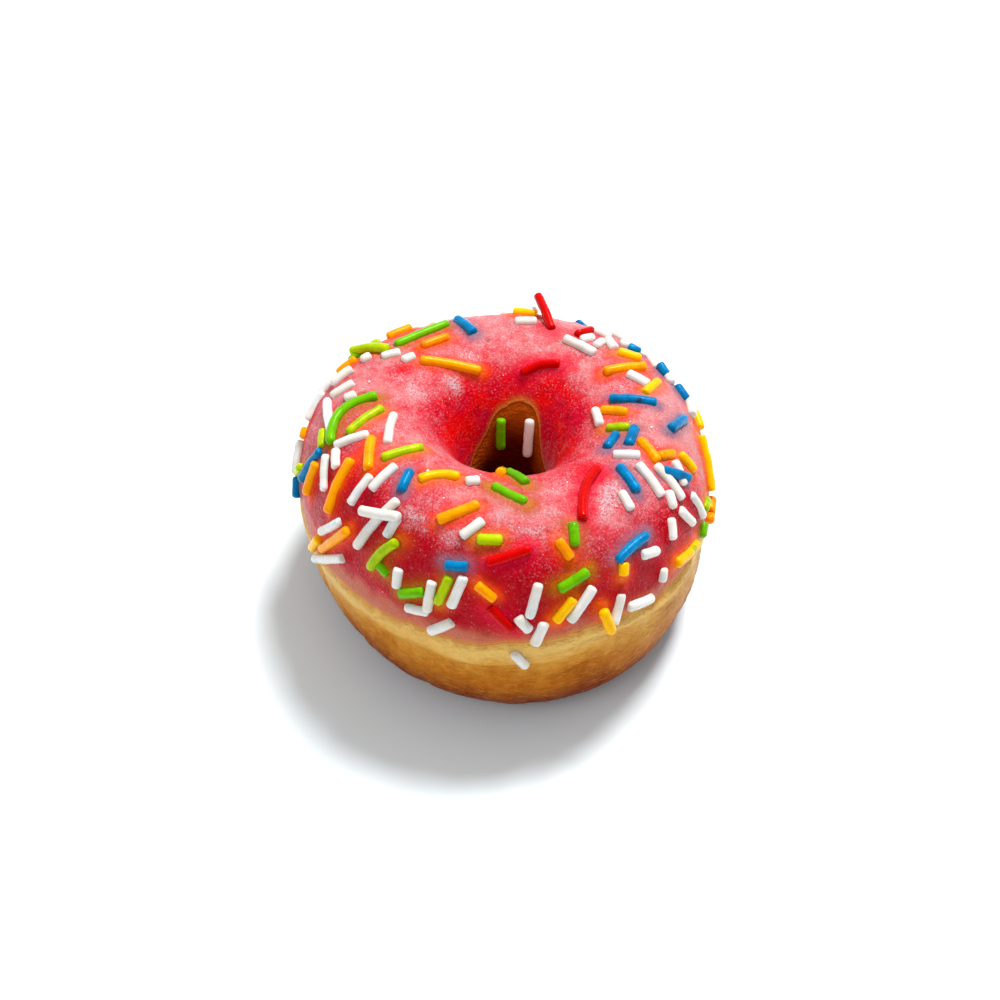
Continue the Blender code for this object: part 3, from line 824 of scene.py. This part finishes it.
def icingFinish():
    tree, shader, made = newMaterial("pinkIcing")
    most = icingLook["most"]
    grain = groupNode(tree, grainGroup, Size=icingLook["grainSize"])
    speck = groupNode(tree, grainGroup, Size=icingLook["speckSize"]).outputs["Speck"]
    broad, fine, plums, ragged, spots = cloudsOf(tree, icingLook, *icingLook["clouds"])
    deep, frostAndSheen, rim, pit, margin, flank = masksOf(tree, icing["masks"])
    dye = addNode(tree, "ShaderNodeAttribute", attribute_name="dye")
    dyed = dye.outputs["Alpha"]

    # Redder where it is thick and where painted shade falls on the slopes and hole wall turned from the key
    # light, with a darker red painted as shade on the flanks; sheer near its outer edge
    byBroad, byFine, least = icingLook["mottling"]
    mottled = calculate(tree, "MULTIPLY_ADD", fine, byFine, least)
    mottled = calculate(tree, "MULTIPLY_ADD", broad, byBroad, mottled)
    depth = calculate(tree, "ADD", mottled, deep)
    colour = mixColours(tree, spread(tree, depth, 0.0, 0.65), icingLook["pale"], icingLook["pink"])
    deepest = mixColours(tree, plums, icingLook["red"], icingLook["plum"])
    deepest = mixColours(tree, flank, deepest, icingLook["shadedCrimson"])
    colour = mixColours(tree, spread(tree, depth, 0.45, 1.0), colour, deepest)
    sheer = calculate(tree, "SUBTRACT", margin, product(tree, deep, 0.45))
    colour = mixColours(tree, spread(tree, sheer, 0.1, 0.8, 0.0, most["sheer"]), colour, icingLook["thin"])
    bruised = spread(tree, spots, 0.75, 1.0, 0.0, most["bruise"])
    bruised = product(tree, bruised, spread(tree, depth, 0.2, 0.9))
    colour = mixColours(tree, bruised, colour, icingLook["bruise"])

    # The sprinkles' dye, then dark grit between the sugar's grains
    soaked = product(tree, dyed, spread(tree, ragged, 0.0, 1.0, 1.0, 0.7))
    colour = mixColours(tree, soaked, colour, dye.outputs["Color"])
    colour = mixColours(tree, spread(tree, speck, 0.4, 0.0, 0.0, most["grit"]), colour, icingLook["bruise"])

    # Frost, milkiness and pale specks, less where the icing is dyed, deep or sheer; the frost patches also
    # carry a painted highlight, the key light's sheen, and a few grains get painted glints
    frostedSheen = calculate(tree, "MULTIPLY_ADD", ragged, 0.45, frostAndSheen)
    frostedSheen = spread(tree, frostedSheen, 0.35, 1.15, 0.0, most["frostAndSheen"])
    milky = product(tree, ragged, spread(tree, deep, 0.6, -0.1, 0.0, most["milk"]))
    powderAndSheen = calculate(tree, "MAXIMUM", frostedSheen, milky)
    paler = spread(tree, speck, 0.7, 1.0, 0.0, most["speck"])
    bloomAndSheen = calculate(tree, "MULTIPLY_ADD", powderAndSheen, spread(tree, speck, 0.0, 1.0, 0.2, 1.6), paler)
    bloomAndSheen = calculate(tree, "MULTIPLY", bloomAndSheen, spread(tree, dyed, 0.1, 0.9, 1.0, 0.25), clamp=True)
    bloomAndSheen = product(tree, bloomAndSheen, spread(tree, deep, 0.35, 0.95, 1.0, 0.3))
    bloomAndSheen = product(tree, bloomAndSheen, spread(tree, margin, 0.1, 0.5, 1.0, 0.15))
    colour = mixColours(tree, bloomAndSheen, colour, icingLook["bloomAndSheen"])
    sparkling = product(tree, grain.outputs["Sparkle"], icingLook["sparkle"])
    colour = mixColours(tree, sparkling, colour, icingLook["bloomAndSheen"])
    colour = mixColours(tree, product(tree, rim, icingLook["rim"]), colour, icingLook["doughTint"])
    colour = mixColours(tree, product(tree, pit, icingLook["pit"]), colour, icingLook["bruise"])
    height = calculate(tree, "MULTIPLY_ADD", ragged, 0.6, grain.outputs["Grain"])
    finishOff(tree, shader, icingLook, colour, grain.outputs["Grain"], height)
    return made


icingMesh, icingPlaces = spunRing(2 * icing["acrossSteps"] + 2, icingPlace, icing["masks"], ["dye"])
markIcing(icingMesh, icingPlaces)
pieceFrom(icingMesh, "pinkGlaze", icingFinish(), ["icing"])
print("icing made")

# Sugar crumbs scattered on the icing, a few of them where they show in front
crumbs = {
    "seed": 21,
    "count": 60,
    "radius": (0.08, 0.18),
    "rolls": (12, 108),
    "seen": [(160, 74, 0.35), (218, 66, 0.3), (203, 63, 0.32), (232, 86, 0.3), (34, 80, 0.3),
             (356, 73, 0.3)],       # azimuth, roll and radius
    "sunk": 0.4,                # share of the radius that stands out
    "edgeRoll": 3,              # roll kept free beside the icing's edge
    "white": (0.95, 0.90, 0.88),
    "pink": (0.88, 0.70, 0.68),
    "roughness": (0.25, 0.5),
}


def makeCrumbs():
    draw = random.Random(crumbs["seed"])
    spots = list(crumbs["seen"])
    for _ in range(crumbs["count"]):
        azimuth = draw.uniform(0, 360)
        roll = draw.uniform(*crumbs["rolls"])
        spots.append((azimuth, roll, draw.uniform(*crumbs["radius"])))
    mesh = bmesh.new()
    for azimuth, roll, radius in spots:
        if roll < outerEdge(azimuth) + crumbs["edgeRoll"]:
            continue
        high = skinRelief(surface(azimuth, roll)) + crumbs["sunk"] * radius
        at = metres(surface(azimuth, roll, -high))
        angle = draw.uniform(0, tau)
        turn = Matrix.Rotation(angle, 4, Vector((draw.uniform(-1, 1), draw.uniform(-1, 1), 1)))
        wide, long = draw.uniform(0.7, 1.3), draw.uniform(0.7, 1.3)
        squash = Matrix.Diagonal((wide, long, draw.uniform(0.6, 1.0), 1))
        bmesh.ops.create_icosphere(mesh, subdivisions=1, radius=radius * mm,
                                   matrix=Matrix.Translation(at) @ turn @ squash)
    tree, shader, made = newMaterial("sugarCrumb")
    grain = groupNode(tree, grainGroup, Size=0.2).outputs["Grain"]
    colour = mixColours(tree, grain, crumbs["white"], crumbs["pink"])
    rough = spread(tree, grain, 0.0, 1.0, *crumbs["roughness"])
    feed(tree, shader, {"Base Color": colour, "Roughness": rough})
    piece = pieceFrom(mesh, "sugarCrumbs", made, ["icing"])
    piece.data.shade_flat()


makeCrumbs()
print("crumbs made")

# Dough: a soft pale shoulder under the icing, a fold below it, browner towards the base
dough = {
    "masks": ("below", "inHole", "foldShading", "pale"),       # below: along the skin from the icing's edge
    "coveredSteps": 40,
    "bareSteps": 168,
    "clearance": 0.04,          # under the icing
    "lip": 5.0,                 # roll from the icing's edge to where the dough is full again
    "crowding": 1.3,            # closer rows of faces near the icing's outer edge
    "rollLength": 0.36,         # along the skin for each degree of roll
    "shoulder": (2.0, 6.5, 0.22),       # roll, half width, how far out
    "crease": (-8.5, 5.0, 0.30),        # roll, half width, how far in
    # where the dough folds over itself: azimuth, half width, roll under the icing's edge, depth
    "folds": [(311, 26, 7.5, 1.2), (264, 15, 15, 0.8), (238, 12, 11, 0.6), (288, 10, 24, 0.6),
              (206, 8, 14, 0.5), (352, 10, 12, 0.5), (35, 16, 11, 0.5), (84, 12, 18, 0.4),
              (124, 20, 8, 0.8), (168, 10, 15, 0.4)],
    # paler patches on both sides: a painted sheen
    "pale": [(345, -8, 26, 13, 0.8), (202, 0, 18, 14, 0.8)],     # azimuth, roll, half widths, amount
    "foldSlope": 1.6,           # roll over which it turns under, and over which it comes out again
    "foldLength": 11.0,
    "foldLip": 0.35,
    "swell": (5.0, 0.20),       # size and height
    "ripples": (1.8, 0.09),
    "wrinkles": (0.8, 0.05),
    "pleats": [(205, 3.0, 0.5), (222, 4.0, 0.4), (247, 3.0, 0.3), (331, 3.0, 0.4), (20, 3.5, 0.5),
               (75, 4.0, 0.4), (118, 3.0, 0.5), (160, 4.0, 0.4)],       # azimuth, half width, depth
    "blisters": {"seed": 5, "count": 60, "rolls": (285, 352), "radius": (0.7, 1.9), "height": (0.06, 0.2)},
}


def makeBlisters():
    listed = dough["blisters"]
    draw = random.Random(listed["seed"])
    found = []
    for _ in range(listed["count"]):
        at = surface(draw.uniform(0, 360), draw.uniform(*listed["rolls"]))
        found.append((at, draw.uniform(*listed["radius"]), draw.uniform(*listed["height"])))
    return found


blisters = makeBlisters()
blisterTree = treeOf([at for at, _, _ in blisters])


def foldsAt(azimuth, roll):     # for each fold the roll below it, how near this place is, and its depth
    for at, width, drop, deep in dough["folds"]:
        wander = 2.5 * noise.noise(Vector((azimuth / 9, at, 0)))
        under = plainOuterEdge(azimuth) - drop + wander - turned(roll, 0)
        yield under, bump(turned(azimuth, at), width), deep


def bareDepth(azimuth, roll):       # how far the bare dough stands in from the plain section
    below = turned(roll, 0)
    at, width, out = dough["shoulder"]
    creaseAt, creaseWidth, inward = dough["crease"]
    depth = inward * bump(below - creaseAt, creaseWidth) - out * bump(below - at, width)
    for under, near, deep in foldsAt(azimuth, roll):
        if under > 0:
            depth += near * deep * smooth(0, dough["foldSlope"], under) * bump(under, dough["foldLength"])
        else:
            depth -= near * deep * dough["foldLip"] * bump(under + 3, 3)
    return depth


def foldShade(azimuth, roll):       # how deep in a fold this place lies
    shade = 0.0
    for under, near, deep in foldsAt(azimuth, roll):
        shade = max(shade, near * bump(under - 1.2, 1.8) * min(1.0, 1.3 * deep))
    return shade


def doughRelief(point, azimuth, fromEdge):
    bare = smooth(0.0, 8.0, fromEdge) * smooth(0.0, 3.0, point.z)
    size, height = dough["swell"]
    relief = height * noise.noise(point / size)
    size, height = dough["ripples"]
    relief += height * noise.noise(Vector((point.x, point.y, point.z * 1.6)) / size)
    size, height = dough["wrinkles"]
    relief += height * noise.noise(Vector((point.x * 0.5, point.y * 0.5, point.z * 1.5)) / size)
    for at, width, depth in dough["pleats"]:
        wander = 2.0 * noise.noise(Vector((at, 0, point.z / 5)))
        relief -= depth * bump(turned(azimuth, at + wander), width / 2) * smooth(16, 9, point.z)
    _, index, away = blisterTree.find(point)
    relief += blisters[index][2] * bump(away, blisters[index][1])
    return relief * bare


def doughPlace(azimuth, step):
    low, high = outerEdge(azimuth), innerEdge(azimuth)
    covered = dough["coveredSteps"]
    if step <= covered:
        t = step / covered
        t -= icing["crowding"] * sin(tau * t) / tau
        fromEdge = min(t, 1 - t) * (high - low)
        roll = low + (high - low) * t
        under = rimDepth(fromEdge) + thickness(fromEdge) + dough["clearance"]
        return roll, under - skinRelief(surface(azimuth, roll))
    t = (step - covered) / dough["bareSteps"]
    t = 1 - (1 - t) ** dough["crowding"]
    roll = high + (low + 360 - high) * t
    fromEdge = min(roll - high, low + 360 - roll)
    point = surface(azimuth, roll)
    atEdge = icing["rimDrop"] + icing["rimThick"] + dough["clearance"]
    full = smooth(0, dough["lip"], fromEdge)
    relief = skinRelief(point) * smooth(0.0, 2.0, point.z) + doughRelief(point, azimuth, fromEdge)
    return roll, atEdge * (1 - full) + bareDepth(azimuth, roll) * full - relief


def markDough(mesh, places):
    below, inHole, foldShading, pale = (mesh.verts.layers.float[name] for name in dough["masks"])
    for vertex, azimuth, roll in places:
        outer = (outerEdge(azimuth) - turned(roll, 0)) * dough["rollLength"]
        inner = (roll - innerEdge(azimuth)) * dough["rollLength"]
        hole = smooth(20, -20, roll - 245)
        vertex[below] = inner * hole + outer * (1 - hole)
        vertex[inHole] = hole
        vertex[foldShading] = foldShade(azimuth, roll)
        vertex[pale] = patches(dough["pale"], azimuth, turned(roll, 0), surface(azimuth, roll))


doughLook = {
    "cream": (0.86, 0.53, 0.15),
    "gold": (0.74, 0.34, 0.05),
    "brown": (0.52, 0.15, 0.008),
    "dark": (0.17, 0.012, 0.0),
    # colour of the painted shade in folds and crease hollows
    "foldShading": (0.40, 0.13, 0.01),
    "paleSheen": (0.88, 0.62, 0.33),
    "stain": (0.66, 0.26, 0.05),        # left by the icing just under its edge
    # the hole's wall, darker than the crust outside as painted shade, and its deepest part, a painted
    # shadow
    "holeWall": (0.36, 0.06, 0.002),
    "holeDeepShade": (0.08, 0.003, 0.0),
    "baked": [("gold", 1.5, 6.5), ("brown", 4.5, 11.0), ("dark", 9.0, 18.0)],       # where each sets in
    "unevenBaking": 3.0,
    "clouds": {"broad": (9.0, 0.25, 3.0, even), "blotch": (2.6, 0.22, 5.0, (1.0, 1.0, 1.6)),
               "pores": (0.55, 0.25, 6.0, even), "creases": (1.3, 0.16, 7.0, (0.8, 0.8, 1.6))},
    "grainSize": 0.5,
    "roughness": (0.30, 0.46),
    "relief": (0.9, 0.3),
    "plain": {"Subsurface Weight": 0.2, "Subsurface Radius": (1.0, 0.5, 0.2), "Subsurface Scale": 1.5 * mm,
              "IOR": 1.25, "Specular IOR Level": 0.1, "Specular Tint": (1.0, 0.6, 0.25)},
}


def doughFinish():
    tree, shader, made = newMaterial("friedDough")
    broad, blotch, pores, creases = cloudsOf(tree, doughLook, *doughLook["clouds"])
    grain = groupNode(tree, grainGroup, Size=doughLook["grainSize"]).outputs["Grain"]
    below, inHole, foldShading, pale = masksOf(tree, dough["masks"])

    # Browner away from the icing, by an uneven distance
    uneven = doughLook["unevenBaking"]
    shifted = calculate(tree, "MULTIPLY_ADD", broad, uneven, calculate(tree, "SUBTRACT", below, uneven / 2))
    shifted = calculate(tree, "ADD", blotch, calculate(tree, "SUBTRACT", shifted, 0.5))
    colour = doughLook["cream"]
    for name, start, end in doughLook["baked"]:
        colour = mixColours(tree, spread(tree, shifted, start, end), colour, doughLook[name])

    mottle = spread(tree, shifted, 4.0, 8.0, 0.0, 0.1)
    # darker fold colour in the crease hollows: painted shade
    creaseShade = spread(tree, below, 1.0, 5.0, 0.1, 0.2)
    # lighter gold on the ridges between creases: a painted glint
    ridgeGlints = spread(tree, below, 5.0, 9.0, 0.08, 0.2)
    film = calculate(tree, "MULTIPLY_ADD", blotch, 0.9, below)
    touches = [
        ("dark", product(tree, spread(tree, blotch, 0.4, 1.0), mottle)),
        # paler sides: a painted sheen
        ("paleSheen", product(tree, pale, 0.7)),
        ("cream", product(tree, spread(tree, pores, 0.6, 1.0), 0.12)),
        ("foldShading", product(tree, spread(tree, creases, 0.5, 1.0), creaseShade)),
        ("gold", product(tree, spread(tree, creases, 0.28, 0.05), ridgeGlints)),
        ("stain", spread(tree, film, 0.3, 1.9, 0.75, 0.0)),
        ("foldShading", product(tree, foldShading, 0.55)),
    ]
    for name, share in touches:
        colour = mixColours(tree, share, colour, doughLook[name])
    # inside the hole the colour darkens to a painted shadow deeper in
    shadedHoleWall = mixColours(tree, spread(tree, shifted, 1.5, 9.0), doughLook["holeWall"], doughLook["holeDeepShade"])
    colour = mixColours(tree, inHole, colour, shadedHoleWall)
    height = calculate(tree, "MULTIPLY_ADD", pores, 0.5, product(tree, grain, 0.35))
    height = calculate(tree, "MULTIPLY_ADD", blotch, 0.6, height)
    height = calculate(tree, "MULTIPLY_ADD", creases, -0.9, height)
    finishOff(tree, shader, doughLook, colour, blotch, height)
    return made


doughSteps = dough["coveredSteps"] + dough["bareSteps"]
doughMesh, doughPlaces = spunRing(doughSteps, doughPlace, dough["masks"])
markDough(doughMesh, doughPlaces)
pieceFrom(doughMesh, "friedRing", doughFinish(), ["dough"])
print("dough made")

# Floor, light and camera
studio = {
    "floorSize": 6.0,           # metres
    "floorColour": (0.895, 0.96, 0.99),
    "sky": (0.94, 0.98, 1.0),
    "skyStrength": 0.49,
    "keyAzimuth": 55,
    "keyElevation": 63,
    "lightDistance": 1.5,
    "keySize": 0.5,
    "keyPower": 30.0,
    "fillAzimuth": 222,
    "fillElevation": 35,
    "fillSize": 1.0,
    "fillPower": 4.6,
    "cameraElevation": 45,
    "cameraDistance": 401.6,
    "lookAt": (-0.53, 1.1, 20.0),
    "lens": 75.0,
    "sensor": 36.0,
}


def fromPoint(target, azimuth, elevation, distance):
    flat = cos(radians(elevation))
    way = Vector((flat * cos(radians(azimuth)), flat * sin(radians(azimuth)), sin(radians(elevation))))
    return target + way * distance


def aimed(thing, target):
    thing.rotation_euler = (target - thing.location).to_track_quat("-Z", "Y").to_euler()


def makeFloor():
    mesh = bmesh.new()
    bmesh.ops.create_grid(mesh, x_segments=1, y_segments=1, size=studio["floorSize"] / 2)
    data = dataFrom(mesh, "floor")
    tree, shader, made = newMaterial("paleFloor")
    cloud = groupNode(tree, cloudsGroup, Size=60.0, Contrast=0.4, Detail=1.0).outputs["Cloud"]
    tint = tuple(0.98 * value for value in studio["floorColour"])
    colour = mixColours(tree, cloud, studio["floorColour"], tint)
    feed(tree, shader, {"Base Color": colour, "Roughness": 0.9, "Specular IOR Level": 0.1})
    data.materials.append(made)
    floor = objectFrom(data, "floor")


def makeSky():
    world = bpy.data.worlds.new("studio")
    bpy.context.scene.world = world
    world.use_nodes = True
    sky = world.node_tree.nodes["Background"]
    feed(world.node_tree, sky, {"Color": studio["sky"], "Strength": studio["skyStrength"]})


def makeLight(name):
    light = bpy.data.lights.new(name, "AREA")
    light.shape = "DISK"
    light.size = studio[name + "Size"]
    light.energy = studio[name + "Power"]
    lamp = objectFrom(light, name)
    target = Vector((0, 0, ring["coreHeight"] * mm))
    way = studio[name + "Azimuth"], studio[name + "Elevation"]
    lamp.location = fromPoint(target, *way, studio["lightDistance"])
    aimed(lamp, target)


def makeCamera():
    data = bpy.data.cameras.new("camera")
    data.lens = studio["lens"]
    data.sensor_width = studio["sensor"]
    data.clip_start = 0.01
    camera = objectFrom(data, "camera")
    target = Vector(studio["lookAt"]) * mm
    camera.location = fromPoint(target, 270, studio["cameraElevation"], studio["cameraDistance"] * mm)
    aimed(camera, target)
    bpy.context.scene.camera = camera


makeFloor()
makeSky()
makeLight("key")
makeLight("fill")
makeCamera()
bpy.context.scene.view_settings.view_transform = "Standard"
print("floor, light and camera made")
